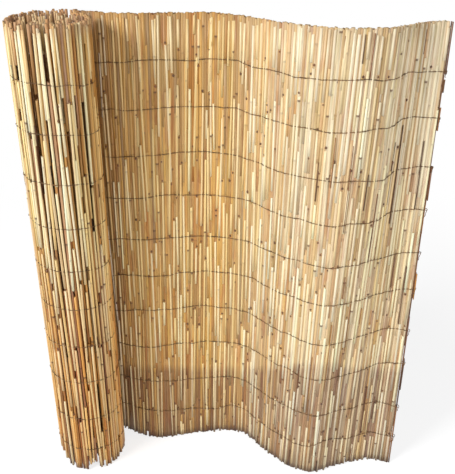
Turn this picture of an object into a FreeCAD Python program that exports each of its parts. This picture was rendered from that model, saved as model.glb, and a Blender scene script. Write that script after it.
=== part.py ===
import FreeCAD, Part
import math
import os

# Reed fence panel: a screen of thin reeds bound by ten rows of wire. It stands on its foot, with one
# end still wound up in a roll on the left and the rest unrolled to the right in loose folds.
# Millimetres, +X to the right, +Y to the back, +Z up. The plan is drawn from the roll's axis, and the
# finished pieces are then placed so that the whole stands centred over the origin.

V = FreeCAD.Vector
UP = V(0, 0, 1)

# Driving sizes: alias, value, what it is.
SIZES = (
    ("mat_height", 1000.0, "length of the longest reeds"),
    ("reed_pitch", 8.05, "from one reed to the next on the open stretch"),
    ("reed_thickness", 7.0, "mat thickness over the reeds"),
    ("reed_crest", 4.0, "width of the flat crest of a reed"),
    ("web_thickness", 2.8, "mat thickness in the valley between two reeds"),
    ("reeds_per_run", 6, "reeds between two bends of the open stretch"),
    ("leave_angle", 24.0, "how far past its rear point the open stretch leaves the roll, degrees"),
    ("roll_radius", 76.2, "middle of the mat to the roll's axis, where the open stretch leaves"),
    ("turn_pitch", 11.0, "from one turn of the roll to the next"),
    ("turn_step", 20.0, "bend at each corner of the roll, degrees"),
    ("roll_turns", 5.5, "turns in the roll"),
    ("roll_lean", 6.5, "how far the roll's head stands to the left of its foot"),
    ("reeds_per_step", 3, "reeds between two corners on the roll's outer turn"),
    ("inner_thickness", 5.2, "mat thickness on the turns inside the roll"),
    ("slit_width", 2.0, "opening between two reeds where the wire passes through"),
    ("slit_height", 62.0, "height of such an opening"),
    ("wire_diameter", 1.2, "binding wire"),
    ("wire_clearance", 0.3, "between the wire and the reeds that it binds"),
    ("head_step", 6.0, "depth by which the shortest reeds stop below the longest"),
    ("foot_step", 4.5, "height by which the shortest reeds stop above the floor"),
    ("end_shoulder", 0.8, "how far a long reed's flank reaches over its short neighbour"),
    ("notch_width", 15.0, "width of the broken place at the roll's foot"),
    ("notch_height", 24.0, "height of the broken place at the roll's foot"),
    ("notch_reach", 34.0, "how deep the broken place reaches into the roll"),
    ("notch_offset", 15.0, "broken place to the right of the roll's axis"),
)

# Height of each row of wire above the floor as a share of mat_height, from the lowest.
ROW_SHARES = (0.078, 0.167, 0.269, 0.362, 0.455, 0.543, 0.636, 0.726, 0.821, 0.911)

# Heading of each run of the open stretch, in degrees from +X, at the floor and at the top of the
# reeds. The mat folds more sharply at one end than at the other, so its reeds lean a little.
FOOT_HEADINGS = (-24, -26, -5, 14, 9, 9, -8, -50, -44, -38, -18, 25, 15, 14, -15)
HEAD_HEADINGS = (-24, -8, 12, 12, 1, -20, -39, -41, -33, -21, -5, 14, 36, 41, 12)

# Runs of the open stretch over which the roll's lean dies out.
LEAN_RUNS = 4

# Slits in each row of wire, counted in reeds from the roll: the first one, the distance to the next,
# and how far they shift from one row to the row above, so that they never stand in line.
SLITS_PER_ROW = 5
FIRST_SLIT = 4
SLIT_SPACING = 17
SLIT_SHIFT = 7
SLIT_SHIFT_LIMIT = 15

# Reeds in a full-length group and in the short group beside it, in the order in which they repeat,
# and the short group's share of head_step or foot_step.
END_GROUPS = ((3, 1, 0.7), (3, 2, 0.4), (2, 1, 1.0), (4, 1, 0.5), (2, 2, 0.8))

# Where those groups begin at the heads and at the feet: reeds passed over, and the first group.
HEAD_START = (1, 0)
FOOT_START = (3, 2)

doc = FreeCAD.newDocument("ReedFencePanel")
sheet = doc.addObject("Spreadsheet::Sheet", "Sizes")


def write_size(row, alias, value, note):
    """Put one driving size in the sheet."""
    sheet.set(f"A{row}", note)
    sheet.set(f"B{row}", str(value))
    sheet.setAlias(f"B{row}", alias)


for row, (alias, value, note) in enumerate(SIZES, start=1):
    write_size(row, alias, value, note)
for index, share in enumerate(ROW_SHARES, start=1):
    formula = f"=mat_height * {share}"
    write_size(len(SIZES) + index, f"row_height_{index:02d}", formula, f"height of wire row {index}")
doc.recompute()


def size(alias):
    """One driving size, read from the sheet."""
    return float(sheet.get(alias))


MAT_HEIGHT = size("mat_height")
ROW_HEIGHTS = [size(f"row_height_{index:02d}") for index in range(1, len(ROW_SHARES) + 1)]
RUN_REEDS = int(size("reeds_per_run"))
STEP_REEDS = int(size("reeds_per_step"))
RUN_LENGTH = size("reed_pitch") * RUN_REEDS
OUTER_STEPS = int(round(360.0 / size("turn_step")))
ROLL_STEPS = int(round(size("roll_turns") * 360.0 / size("turn_step")))
FIRST_OUTER = ROLL_STEPS - OUTER_STEPS
HALF_WEB = size("web_thickness") / 2.0
HALF_REED = size("reed_thickness") / 2.0
HALF_INNER = size("inner_thickness") / 2.0
HALF_WIRE = size("wire_diameter") / 2.0
WIRE_NEAR = HALF_REED + size("wire_clearance")
WIRE_FAR = WIRE_NEAR + size("wire_diameter")


def heading_vector(degrees):
    """Unit vector in the plan for a heading in degrees from +X."""
    angle = math.radians(degrees)
    return V(math.cos(angle), math.sin(angle), 0)


def back_normal(start, end):
    """Unit vector that points to the mat's back, which is the outside of the roll."""
    along = (end - start).normalize()
    return V(-along.y, along.x, 0)


def plan_corners(headings, lean):
    """Corners of the mat's middle line, from the core of the roll to the free end. The roll stands
    to the left by lean, and the first runs of the open stretch make up for it."""
    corners = []
    for step in range(ROLL_STEPS, -1, -1):
        wound = size("turn_step") * step
        radius = size("roll_radius") - size("turn_pitch") * wound / 360.0
        corners.append(heading_vector(90.0 - size("leave_angle") + wound) * radius)
    for heading in headings:
        corners.append(corners[-1] + heading_vector(heading) * RUN_LENGTH)
    for index, corner in enumerate(corners):
        runs_past = max(index - ROLL_STEPS, 0)
        corner.x -= lean * max(1.0 - runs_past / LEAN_RUNS, 0.0)
    return corners


FOOT_CORNERS = plan_corners(FOOT_HEADINGS, 0.0)
HEAD_CORNERS = plan_corners(HEAD_HEADINGS, size("roll_lean"))
LAST = len(FOOT_CORNERS) - 1


def corners_at(height):
    """Corners of the middle line at a height: each reed is straight from foot to head."""
    share = height / MAT_HEIGHT
    return [foot + (head - foot) * share for foot, head in zip(FOOT_CORNERS, HEAD_CORNERS)]


def reeds_between(index):
    """Number of reeds modelled between corner index and the next."""
    if index < FIRST_OUTER:
        return 0
    if index < ROLL_STEPS:
        return STEP_REEDS
    return RUN_REEDS


# Every modelled reed in order from the outer turn to the free end, as corner index and number.
REED_ORDER = [(index, reed) for index in range(FIRST_OUTER, LAST) for reed in range(reeds_between(index))]


def mitred(corners, index, offset):
    """The corner moved to the back by offset, so that both its runs stay parallel to themselves."""
    before = back_normal(corners[max(index - 1, 0)], corners[max(index, 1)])
    after = back_normal(corners[min(index, LAST - 1)], corners[min(index + 1, LAST)])
    middle = before + after
    return corners[index] + middle * (2.0 * offset / middle.dot(middle))


def reed_side(corners, side):
    """Points of one face of the mat: side is 1 for the back and -1 for the front."""
    points = []
    for index in range(LAST):
        reeds = reeds_between(index)
        points.append(mitred(corners, index, side * (HALF_WEB if reeds else HALF_INNER)))
        if not reeds:
            continue
        start = corners[index]
        run = corners[index + 1] - start
        along = V(run).normalize()
        normal = back_normal(start, corners[index + 1]) * side
        pitch = run.Length / reeds
        flank = (pitch - size("reed_crest")) / 2.0
        for reed in range(reeds):
            valley = start + along * (pitch * reed)
            if reed:
                points.append(valley + normal * HALF_WEB)
            points.append(valley + along * flank + normal * HALF_REED)
            points.append(valley + along * (pitch - flank) + normal * HALF_REED)
    points.append(mitred(corners, LAST, side * HALF_WEB))
    return points


def mat_outline(corners, height):
    """Closed outline of the mat at one height."""
    loop = reed_side(corners, -1) + reed_side(corners, 1)[::-1]
    loop = [V(point.x, point.y, height) for point in loop]
    return Part.makePolygon(loop + [loop[0]])


def closed_face(points):
    """Flat face inside a closed row of points."""
    return Part.Face(Part.makePolygon(points + [points[0]]))


def feature(name, shape):
    """A document object that holds a shape worked out by this file's own functions."""
    item = doc.addObject("Part::Feature", name)
    item.Shape = shape
    return item


def valley_place(index, reed, height):
    """Point, direction along the mat and direction to its back, at a valley and a height."""
    corners = corners_at(height)
    run = corners[index + 1] - corners[index]
    point = corners[index] + run * (reed / reeds_between(index))
    point.z = height
    return point, V(run).normalize(), back_normal(corners[index], corners[index + 1])


def slit_places(row):
    """Corner index and valley number of each slit that a row of wire passes through."""
    places = []
    for number in range(SLITS_PER_ROW):
        reed = FIRST_SLIT + SLIT_SPACING * number + (SLIT_SHIFT * row) % SLIT_SHIFT_LIMIT
        run, valley = divmod(reed, RUN_REEDS)
        places.append((ROLL_STEPS + run, max(valley, 1)))
    return places


def slit_tool(index, reed, middle):
    """Bar that opens a valley of the mat around the height of a row of wire."""
    half = size("slit_height") / 2.0
    start, along, back = valley_place(index, reed, middle - half)
    end = valley_place(index, reed, middle + half)[0]
    width = along * (size("slit_width") / 2.0)
    reach = back * size("reed_thickness")
    face = closed_face([start - width - reach, start + width - reach,
                        start + width + reach, start - width + reach])
    return face.extrude(end - start)


def end_tool(first, count, low, high):
    """Block round a group of neighbouring reeds between two heights."""
    corners = corners_at(low)
    places = REED_ORDER[first:first + count + 1]
    shoulder = size("end_shoulder")
    front, back = [], []
    for number, (index, reed) in enumerate(places):
        run = corners[index + 1] - corners[index]
        along = V(run).normalize()
        shift = {0: shoulder, count: -shoulder}.get(number, 0.0)
        if reed == 0 and 0 < number < count:
            centre = corners[index]
            reach = mitred(corners, index, size("reed_thickness")) - centre
        else:
            centre = corners[index] + run * (reed / reeds_between(index)) + along * shift
            reach = back_normal(corners[index], corners[index + 1]) * size("reed_thickness")
        front.append(centre - reach)
        back.append(centre + reach)
    loop = [V(point.x, point.y, low) for point in front + back[::-1]]
    return closed_face(loop).extrude(UP * (high - low))


def end_tools(step, level, start):
    """Blocks that shorten groups of reeds at their ends, which stand at a level."""
    tools = []
    place, turn = start
    while True:
        full, short, share = END_GROUPS[turn % len(END_GROUPS)]
        if place + full + short >= len(REED_ORDER) - 1:
            return tools
        cut = step * share
        tools.append(end_tool(place + full, short, level - cut, level + cut))
        place += full + short
        turn += 1


# The mat: a wall lofted from its outline at the floor to its outline at the reeds' heads, with the
# slits, the uneven reed ends and the broken place at the roll's foot cut out of it.
foot_outline = feature("foot_outline", mat_outline(FOOT_CORNERS, 0.0))
head_outline = feature("head_outline", mat_outline(HEAD_CORNERS, MAT_HEIGHT))
mat_wall = doc.addObject("Part::Loft", "mat_wall")
mat_wall.Sections = [foot_outline, head_outline]
mat_wall.Solid = True
mat_wall.Ruled = True

slits = feature("slits", Part.makeCompound([
    slit_tool(index, reed, height)
    for row, height in enumerate(ROW_HEIGHTS)
    for index, reed in slit_places(row)]))
uneven_ends = feature("uneven_ends", Part.makeCompound(
    end_tools(size("head_step"), MAT_HEIGHT, HEAD_START) + end_tools(size("foot_step"), 0.0, FOOT_START)))

broken_place = doc.addObject("Part::Box", "broken_place")
broken_place.setExpression("Length", "Sizes.notch_width")
broken_place.setExpression("Width", "Sizes.notch_reach + Sizes.reed_thickness")
broken_place.setExpression("Height", "Sizes.notch_height * 2")
broken_place.setExpression("Placement.Base.x", "Sizes.notch_offset - Sizes.notch_width / 2")
broken_place.setExpression("Placement.Base.y", "-Sizes.roll_radius - Sizes.reed_thickness")
broken_place.setExpression("Placement.Base.z", "-Sizes.notch_height")

mat_cuts = doc.addObject("Part::Compound", "mat_cuts")
mat_cuts.Links = [slits, uneven_ends, broken_place]
reed_mat = doc.addObject("Part::Cut", "reed_mat")
reed_mat.Base = mat_wall
reed_mat.Tool = mat_cuts
reed_mat.Label = "reed_mat"


def near_side(corners, side, start, end):
    """Points of a wire's near face between two places, each a corner index and a plan point."""
    reach = side * WIRE_NEAR
    first = start[1] + back_normal(corners[start[0]], corners[start[0] + 1]) * reach
    last = end[1] + back_normal(corners[end[0]], corners[end[0] + 1]) * reach
    between = [mitred(corners, index, reach) for index in range(start[0] + 1, end[0] + 1)]
    return [first] + between + [last]


def opening_loop(corners, start, end):
    """Way round the inside of a wire between two places."""
    return near_side(corners, -1, start, end) + near_side(corners, 1, start, end)[::-1]


def wire_outline(row, height):
    """Plan of a row of wire: along the front, round the free end, along the back, round the roll,
    with a link from front to back through each slit."""
    corners = corners_at(height)
    along = (corners[LAST] - corners[LAST - 1]).normalize()
    back = back_normal(corners[LAST - 1], corners[LAST])
    near_end = corners[LAST] + along * size("wire_clearance")
    far_end = near_end + along * size("wire_diameter")
    outside = [mitred(corners, index, WIRE_FAR) for index in range(FIRST_OUTER, LAST)]
    outside += [far_end + back * WIRE_FAR, far_end - back * WIRE_FAR]
    outside += [mitred(corners, index, -WIRE_FAR) for index in range(LAST - 1, ROLL_STEPS - 1, -1)]
    openings = []
    opening_start = None
    for index, reed in slit_places(row):
        point, along, back = valley_place(index, reed, height)
        point.z = 0.0
        opening_end = (index, point - along * HALF_WIRE)
        if opening_start:
            openings.append(opening_loop(corners, opening_start, opening_end))
        else:
            outside += near_side(corners, -1, (ROLL_STEPS, corners[ROLL_STEPS]), opening_end)
            outside += near_side(corners, 1, (FIRST_OUTER, corners[FIRST_OUTER]), opening_end)[::-1]
        opening_start = (index, point + along * HALF_WIRE)
    openings.append(opening_loop(corners, opening_start, (LAST - 1, near_end)))
    loops = [Part.makePolygon(loop + [loop[0]]) for loop in [outside] + openings]
    return Part.Face(loops)


wire_rows = []
for row, height in enumerate(ROW_HEIGHTS):
    name = f"wire_row_{row + 1:02d}"
    outline = feature(f"wire_outline_{row + 1:02d}", wire_outline(row, height))
    wire = doc.addObject("Part::Extrusion", name)
    wire.Base = outline
    wire.DirMode = "Custom"
    wire.Dir = UP
    wire.Solid = True
    wire.setExpression("LengthFwd", "Sizes.wire_diameter")
    wire.setExpression("Placement.Base.z", f"Sizes.row_height_{row + 1:02d} - Sizes.wire_diameter / 2")
    wire.Label = name
    wire_rows.append(wire)

# Centre the whole over the origin: every piece moves by the same plan distance, which the outlines
# give before anything solid is built.
pieces = [reed_mat] + wire_rows
plan = FreeCAD.BoundBox()
for outline in [foot_outline, head_outline] + [wire.Base for wire in wire_rows]:
    plan.add(outline.Shape.BoundBox)
for piece in pieces:
    piece.Placement.Base = V(-plan.Center.x, -plan.Center.y, piece.Placement.Base.z)
doc.recompute()

for item in doc.Objects:
    if "Invalid" in item.State or "Error" in item.State:
        raise RuntimeError(f"{item.Name} did not build: {item.State}")
for piece in pieces:
    if piece.Shape.isNull() or not piece.Shape.isValid() or len(piece.Shape.Solids) != 1:
        raise RuntimeError(f"{piece.Label} is not one valid solid")

os.makedirs("parts", exist_ok=True)
for piece in pieces:
    piece.Shape.exportStep(f"parts/{piece.Label}.step")

mat_length = sum((HEAD_CORNERS[index + 1] - HEAD_CORNERS[index]).Length for index in range(LAST))
print(f"mat {mat_length:.0f} mm long, plan {plan.XLength:.1f} x {plan.YLength:.1f}, centre {plan.Center}")
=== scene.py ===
"""Looks of the reed fence panel: peeled reeds bound by ten rows of wire, half wound up in a roll."""

import logging
import math
from dataclasses import dataclass, field, replace
from enum import Enum
from typing import Sequence

import bpy
import numpy as np
from mathutils import Matrix, Vector


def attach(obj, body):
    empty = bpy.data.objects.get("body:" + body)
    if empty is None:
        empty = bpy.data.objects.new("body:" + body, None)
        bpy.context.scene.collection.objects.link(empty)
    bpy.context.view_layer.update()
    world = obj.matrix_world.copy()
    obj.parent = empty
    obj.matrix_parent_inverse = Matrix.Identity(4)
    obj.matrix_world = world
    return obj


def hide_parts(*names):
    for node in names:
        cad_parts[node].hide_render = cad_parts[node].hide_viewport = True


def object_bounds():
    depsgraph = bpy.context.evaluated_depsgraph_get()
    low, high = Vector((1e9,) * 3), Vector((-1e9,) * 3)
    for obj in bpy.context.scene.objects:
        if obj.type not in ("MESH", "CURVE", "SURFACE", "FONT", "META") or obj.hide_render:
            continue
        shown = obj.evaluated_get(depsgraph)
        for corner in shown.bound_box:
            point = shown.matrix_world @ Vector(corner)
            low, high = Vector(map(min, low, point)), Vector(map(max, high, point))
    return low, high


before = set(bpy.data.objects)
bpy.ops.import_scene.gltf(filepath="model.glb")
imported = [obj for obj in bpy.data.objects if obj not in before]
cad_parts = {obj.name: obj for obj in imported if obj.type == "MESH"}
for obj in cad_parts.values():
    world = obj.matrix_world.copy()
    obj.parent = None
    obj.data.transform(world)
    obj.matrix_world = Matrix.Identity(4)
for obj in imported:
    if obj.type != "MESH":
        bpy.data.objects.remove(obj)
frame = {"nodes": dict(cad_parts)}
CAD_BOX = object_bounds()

logging.basicConfig(level=logging.INFO, format="%(message)s")
log = logging.getLogger("reed_fence")

BODY = "root"
MAT_NODE = "reed_mat"
MAT_HEIGHT = 1.0
ROOM = np.array([[corner[0], corner[1]] for corner in CAD_BOX])
UP = np.array([0.0, 0.0, 1.0])
FULL_TURN = 2.0 * math.pi
WHITE = (1.0, 1.0, 1.0, 1.0)

Triple = tuple[float, float, float]
Colour = Triple
Span = tuple[float, float]
Socket = bpy.types.NodeSocket
Sockets = bpy.types.bpy_prop_collection
Tree = bpy.types.NodeTree
Array = np.ndarray
Rng = np.random.Generator


def linear(red: float, green: float, blue: float) -> Colour:
    """Linear colour for a colour written as 0 to 255 on screen.

    Args:
        red: Red, 0 to 255.
        green: Green, 0 to 255.
        blue: Blue, 0 to 255.

    Returns:
        The same colour as linear values from 0 to 1.
    """
    shares = (value / 255.0 for value in (red, green, blue))
    return tuple(share / 12.92 if share <= 0.04045 else ((share + 0.055) / 1.055) ** 2.4 for share in shares)


class ReedTone(Enum):
    """Colours that a dried, peeled reed takes."""

    IVORY = linear(255, 246, 214)
    CREAM = linear(250, 232, 186)
    STRAW = linear(240, 212, 148)
    HONEY = linear(220, 174, 98)
    SAND = linear(204, 167, 108)
    TAN = linear(184, 143, 86)
    AMBER = linear(192, 134, 62)
    RUSSET = linear(142, 92, 56)
    GREY = linear(170, 146, 110)
    ROSE = linear(190, 150, 118)
    UMBER = linear(92, 62, 40)


class Layer(Enum):
    """Where a reed lies in the thickness of the mat, as the side of the middle."""

    FRONT = -1
    CORE = 0
    BACK = 1


@dataclass(frozen=True)
class MatPlan:
    """Middle line of the mat in plan, from the core of the roll to the free end.

    A place on the mat is its distance in metres from where the open stretch leaves the roll: below
    zero in the roll and above zero on the open stretch. Each reed is straight from foot to head.
    """

    roll_radius: float = 0.0762
    turn_pitch: float = 0.011
    roll_turns: float = 5.5
    roll_points: int = 1100
    leave_angle: float = 66.0
    run_length: float = 0.0483
    rounding: float = 0.4
    bend_points: int = 12
    roll_lean: float = 0.0065
    lean_runs: int = 4
    clearance: float = 0.00002
    end_reach: float = 0.001
    shift: Span = (-0.304910, -0.002619)
    foot_headings: tuple[float, ...] = (-24, -26, -5, 14, 9, 9, -8, -50, -44, -38, -18, 25, 15, 14, -15)
    head_headings: tuple[float, ...] = (-24, -8, 12, 12, 1, -20, -39, -41, -33, -21, -5, 14, 36, 41, 12)
    table: dict[str, Array] = field(default_factory=dict, compare=False)

    def __post_init__(self) -> None:
        """Samples the line at the floor and at the reeds' heads once, for later look-ups."""
        roll = self._roll_line()
        foot = np.vstack([roll, self._open_line(self.foot_headings, 0.0)])
        head = np.vstack([roll - (self.roll_lean, 0.0), self._open_line(self.head_headings, self.roll_lean)])
        steps = np.linalg.norm(np.diff((foot + head) / 2.0, axis=0), axis=1)
        place = np.concatenate([[0.0], np.cumsum(steps)])
        place -= place[len(roll) - 1]
        keep = np.concatenate([[True], np.diff(place) > 1e-9])
        self.table.update(place=place[keep], foot=foot[keep], head=head[keep])

    def _roll_line(self) -> Array:
        """Winds the roll.

        Returns:
            Points of its spiral, from the core outwards.
        """
        wound = np.linspace(self.roll_turns * 360.0, 0.0, self.roll_points)
        radius = self.roll_radius - self.turn_pitch * wound / 360.0
        angle = np.radians(self.leave_angle + wound)
        return np.stack([radius * np.cos(angle) + self.shift[0], radius * np.sin(angle) + self.shift[1]], 1)

    def _open_line(self, headings: Sequence[float], lean: float) -> Array:
        """Follows the runs of the open stretch, with each bend rounded.

        Args:
            headings: Heading of each run, in degrees from +X.
            lean: How far the roll stands to the left here, which the first runs make up for.

        Returns:
            Points from the roll to the free end.
        """
        corners = [self._roll_line()[-1].copy()]
        for heading in headings:
            turn = math.radians(heading)
            corners.append(corners[-1] + self.run_length * np.array([math.cos(turn), math.sin(turn)]))
        for runs_past, corner in enumerate(corners):
            corner[0] -= lean * max(1.0 - runs_past / self.lean_runs, 0.0)
        points = [corners[0]]
        for before, here, after in zip(corners, corners[1:], corners[2:]):
            start = here + (before - here) * self.rounding
            end = here + (after - here) * self.rounding
            for share in np.linspace(0.0, 1.0, self.bend_points):
                points.append(start * (1 - share) ** 2 + here * 2 * share * (1 - share) + end * share**2)
        points.append(corners[-1])
        return np.array(points)

    @property
    def start(self) -> float:
        """Place of the mat's end in the core of the roll."""
        return float(self.table["place"][0])

    @property
    def end(self) -> float:
        """Place of the free end of the mat."""
        return float(self.table["place"][-1])

    @property
    def outer_start(self) -> float:
        """Place where the outer turn of the roll begins."""
        return -2.0 * math.pi * (self.roll_radius - self.turn_pitch / 2.0)

    def line(self, place: Array, share: Array) -> Array:
        """Middle of the mat at some places.

        Args:
            place: Places along the mat.
            share: Height of each as a share of the reeds' height.

        Returns:
            Plan points, one row each.
        """
        foot, head = (
            np.stack([np.interp(place, self.table["place"], axis) for axis in self.table[side].T], 1)
            for side in ("foot", "head")
        )
        return foot + (head - foot) * np.asarray(share)[:, None]

    def heading(self, place: Array, share: Array) -> Array:
        """Direction of the mat at some places.

        Args:
            place: Places along the mat.
            share: Height of each as a share of the reeds' height.

        Returns:
            Unit vectors in plan towards the free end, one row each.
        """
        reach = 0.004
        low = np.maximum(place - reach, self.start)
        high = np.minimum(place + reach, self.end)
        along = self.line(high, share) - self.line(low, share)
        return along / np.linalg.norm(along, axis=1)[:, None]

    def inside(self, points: Array, girth: object) -> Array:
        """Keeps points within the box of the solids.

        Args:
            points: Points, one row each.
            girth: Half the thickness of what lies at them, one for all or one each.

        Returns:
            The points, moved in plan where they stood outside.
        """
        margin = np.asarray(girth, float).reshape(-1, 1) + self.clearance
        return np.column_stack([np.clip(points[:, :2], ROOM[0] + margin, ROOM[1] - margin), points[:, 2]])

    def points(self, place: Array, height: Array, offset: Array, girth: object = 0.0) -> Array:
        """Points in space on or off the middle of the mat.

        Args:
            place: Places along the mat.
            height: Height of each above the floor.
            offset: Distance of each from the middle, positive to the mat's back.
            girth: Half the thickness of what lies there, one for all or one each.

        Returns:
            Points, one row each.
        """
        share = height / MAT_HEIGHT
        held = np.clip(place, self.start, self.end)
        along = self.heading(np.clip(place, self.start + self.end_reach, self.end - self.end_reach), share)
        back = np.stack([-along[:, 1], along[:, 0]], 1)
        plan = self.line(held, share) + along * (place - held)[:, None] + back * np.asarray(offset)[:, None]
        return self.inside(np.column_stack([plan, height]), girth)


@dataclass(frozen=True)
class WornFoot:
    """Where reeds end above the floor at the front of the roll: broken away, or stepped up."""

    left: float = -0.3040
    right: float = -0.2855
    back: float = -0.0360
    height: float = 0.021
    step_start: float = -0.3480
    step_end: float = -0.3850
    step_back: float = 0.0200
    step_height: float = 0.042

    def foot(self, point: Array, rng: Rng) -> float:
        """Lowest height that a reed has here.

        Args:
            point: Plan point of the reed.
            rng: Random numbers.

        Returns:
            Height above the floor, zero away from the worn places.
        """
        if self.left < point[0] < self.right and point[1] < self.back:
            return self.height * rng.uniform(0.8, 1.2)
        if point[0] < self.step_start and point[1] < self.step_back:
            share = (self.step_start - point[0]) / (self.step_start - self.step_end)
            return self.step_height * min(share, 1.0) ** 0.6 * rng.uniform(0.85, 1.05)
        return 0.0


@dataclass
class Reed:
    """One reed, or a broken length of one."""

    place: float
    foot: float
    head: float
    offset: float
    radius: float
    tone: Array
    lean: float = 0.0
    bow: float = 0.0
    flat: float = 1.0

    def place_at(self, height: object) -> object:
        """Place along the mat of the reed's axis at one height or several."""
        return self.place + self.lean * (height - 0.5)


@dataclass(frozen=True)
class ToneMix:
    """Tones that a group of reeds takes, and how often.

    Sun has bleached the free part of the mat, from a first place to a second, and the mix grows paler
    higher up and at the head. The mat just by the roll turns grey with painted shade, and above it the mat
    is darker and browner towards the top with painted shade of the roll. Head and the height of that
    painted shade are each the height where it starts and the metres until it is full.
    """

    weights: tuple[tuple[ReedTone, float], ...]
    spread: float = 0.10
    bleach_share: float = 0.68
    bleach_most: float = 0.9
    bleach_to: Colour = linear(240, 226, 196)
    bleach_from: Span = (0.27, 0.45)
    paler_rise: Span = (0.74, 0.58)
    paler_head: float = 0.36
    head: Span = (0.6, 0.3)
    # Painted shade: greys the mat just beside the roll, fading out away from it.
    nook_shade: Colour = (0.62, 0.62, 0.86)
    nook_shade_reach: float = 0.055
    # Painted shade of the roll: the upper mat near it is darker and browner.
    brown: Colour = (0.8, 1.0, 1.0)
    roll_shade_share: float = 0.22
    roll_shade_height: Span = (0.55, 0.3)
    roll_shade_reach: float = 0.36

    def pick(self, rng: Rng, place: float, height: float) -> Array:
        """Picks the colour of one reed.

        Args:
            rng: Random numbers.
            place: Place of the reed along the mat.
            height: Height of its middle.

        Returns:
            A linear colour.
        """
        chances = np.array([weight for _, weight in self.weights], float)
        picked = rng.choice(len(chances), 2, p=chances / chances.sum())
        first, second = (np.array(self.weights[index][0].value) for index in picked)
        share = rng.uniform(0.0, 0.5)
        colour = first * (1 - share) + second * share
        free = np.clip((place - self.bleach_from[0]) / (self.bleach_from[1] - self.bleach_from[0]), 0.0, 1.0)
        topmost = np.clip((height - self.head[0]) / self.head[1], 0.0, 1.0)
        # Paler higher up and at the head.
        risen = self.paler_rise[0] + self.paler_rise[1] * height + self.paler_head * topmost
        bleached = min(self.bleach_share * free * rng.uniform(0.2, 1.0) * risen, self.bleach_most)
        colour = colour * (1 - bleached) + np.array(self.bleach_to) * bleached
        # Painted shade: grey on the mat just beside the roll.
        if 0 < place < self.nook_shade_reach:
            nook_shaded = rng.uniform(0.4, 1.0) * min(1.6 * (1.0 - place / self.nook_shade_reach), 1.0)
            colour = colour * (1 - nook_shaded) + colour * np.array(self.nook_shade) * nook_shaded
        # Painted shade of the roll: darker and browner towards the top near it.
        if place > 0.0:
            high = np.clip((height - self.roll_shade_height[0]) / self.roll_shade_height[1], 0.0, 1.0)
            roll_shaded = self.roll_shade_share * high * np.clip(1.0 - place / self.roll_shade_reach, 0.0, 1.0)
            colour = colour * (1.0 - roll_shaded * np.array(self.brown))
        return np.clip(colour * (1.0 + rng.normal(0.0, self.spread)), 0.01, 0.95)


def mix(spread: float, bleach_share: float = ToneMix.bleach_share, **weights: float) -> ToneMix:
    """Makes a mix of tones.

    Args:
        spread: How far reeds of one tone differ in brightness.
        bleach_share: How far the mix bleaches.
        weights: How often each tone is taken, by its name.

    Returns:
        The mix.
    """
    return ToneMix(tuple((ReedTone[name], weight) for name, weight in weights.items()), spread, bleach_share)


DULL = mix(0.06, TAN=4, SAND=5, HONEY=3.5, GREY=0.6, AMBER=1.2)
BRIGHT = mix(0.06, STRAW=5, CREAM=4, HONEY=1)
PALE = mix(0.06, CREAM=4, IVORY=3, STRAW=2.5, HONEY=0.7)
# Nearly white tones for the roll's front: partly the reeds' own tone, partly a painted highlight.
VIVID = mix(0.07, CREAM=5, IVORY=4, STRAW=3, HONEY=1.2)
GOLDEN = mix(0.07, STRAW=4, HONEY=3, CREAM=2, ROSE=1)
WARM = mix(0.08, HONEY=4, AMBER=2, SAND=2, STRAW=1.5)
SUNNY = mix(0.07, STRAW=4, HONEY=3, CREAM=2, AMBER=1.2)
# Darker tones in the roll: partly the reeds' own tone, partly painted shade where they lie recessed.
MIXED = mix(0.12, AMBER=2.6, RUSSET=2.6, TAN=4, ROSE=1.4, HONEY=2)
# Tones of the roll's outermost inner turn, darker than its reeds are: painted shade behind the outer turn.
DEEP_SHADE = mix(0.15, UMBER=4, RUSSET=1.5)
# Tones of thin dark reeds that stand for painted shade: slits between reeds and a shadowed edge.
SHADE_MIX = mix(0.1, 0.0, UMBER=2, RUSSET=3, AMBER=1)

# Rings of a knot on a reed: distance from its middle, how far the reed swells and how dark it is.
KNOT = ((-0.0032, 0.0, 0.3), (-0.0009, 0.16, 1.0), (0.0006, 0.13, 1.0), (0.0026, 0.0, 0.0))


@dataclass(frozen=True)
class ReedCut:
    """How a reed is meshed: its sides, the steps along it, its knots, its oval section and hollow ends."""

    sides: int = 9
    step: float = 0.045
    knots: bool = True
    shortest: float = 0.012
    taper: float = 0.10
    oval: float = 0.05
    girth: float = 1.06
    hole: float = 0.6
    depth: float = 0.009


def put(name: str, data: bpy.types.ID) -> bpy.types.Object:
    """Puts data in the scene.

    Args:
        name: Name of the object.
        data: Its mesh, light or camera.

    Returns:
        The new object.
    """
    made = bpy.data.objects.new(name, data)
    bpy.context.scene.collection.objects.link(made)
    return made


def put_mesh(name: str, points: list, faces: list) -> bpy.types.Object:
    """Puts a mesh with smooth faces in the scene.

    Args:
        name: Name of the mesh and the object.
        points: Its points.
        faces: Point numbers of each face.

    Returns:
        The new object.
    """
    mesh = bpy.data.meshes.new(name)
    mesh.from_pydata(points, [], faces)
    mesh.polygons.foreach_set("use_smooth", np.ones(len(mesh.polygons), bool))
    return put(name, mesh)


def tube_faces(rows: int, sides: int, first: int) -> tuple[Array, Array]:
    """Numbers the points of a tube and joins its rings.

    Args:
        rows: Number of rings.
        sides: Points in each ring.
        first: Number of the first point.

    Returns:
        Point numbers by ring, and the corners of each face round the side.
    """
    index = np.arange(rows * sides).reshape(rows, sides) + first
    after = np.roll(index, -1, axis=1)
    return index, np.stack([index[:-1], after[:-1], after[1:], index[1:]], 2).reshape(-1, 4)


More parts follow.
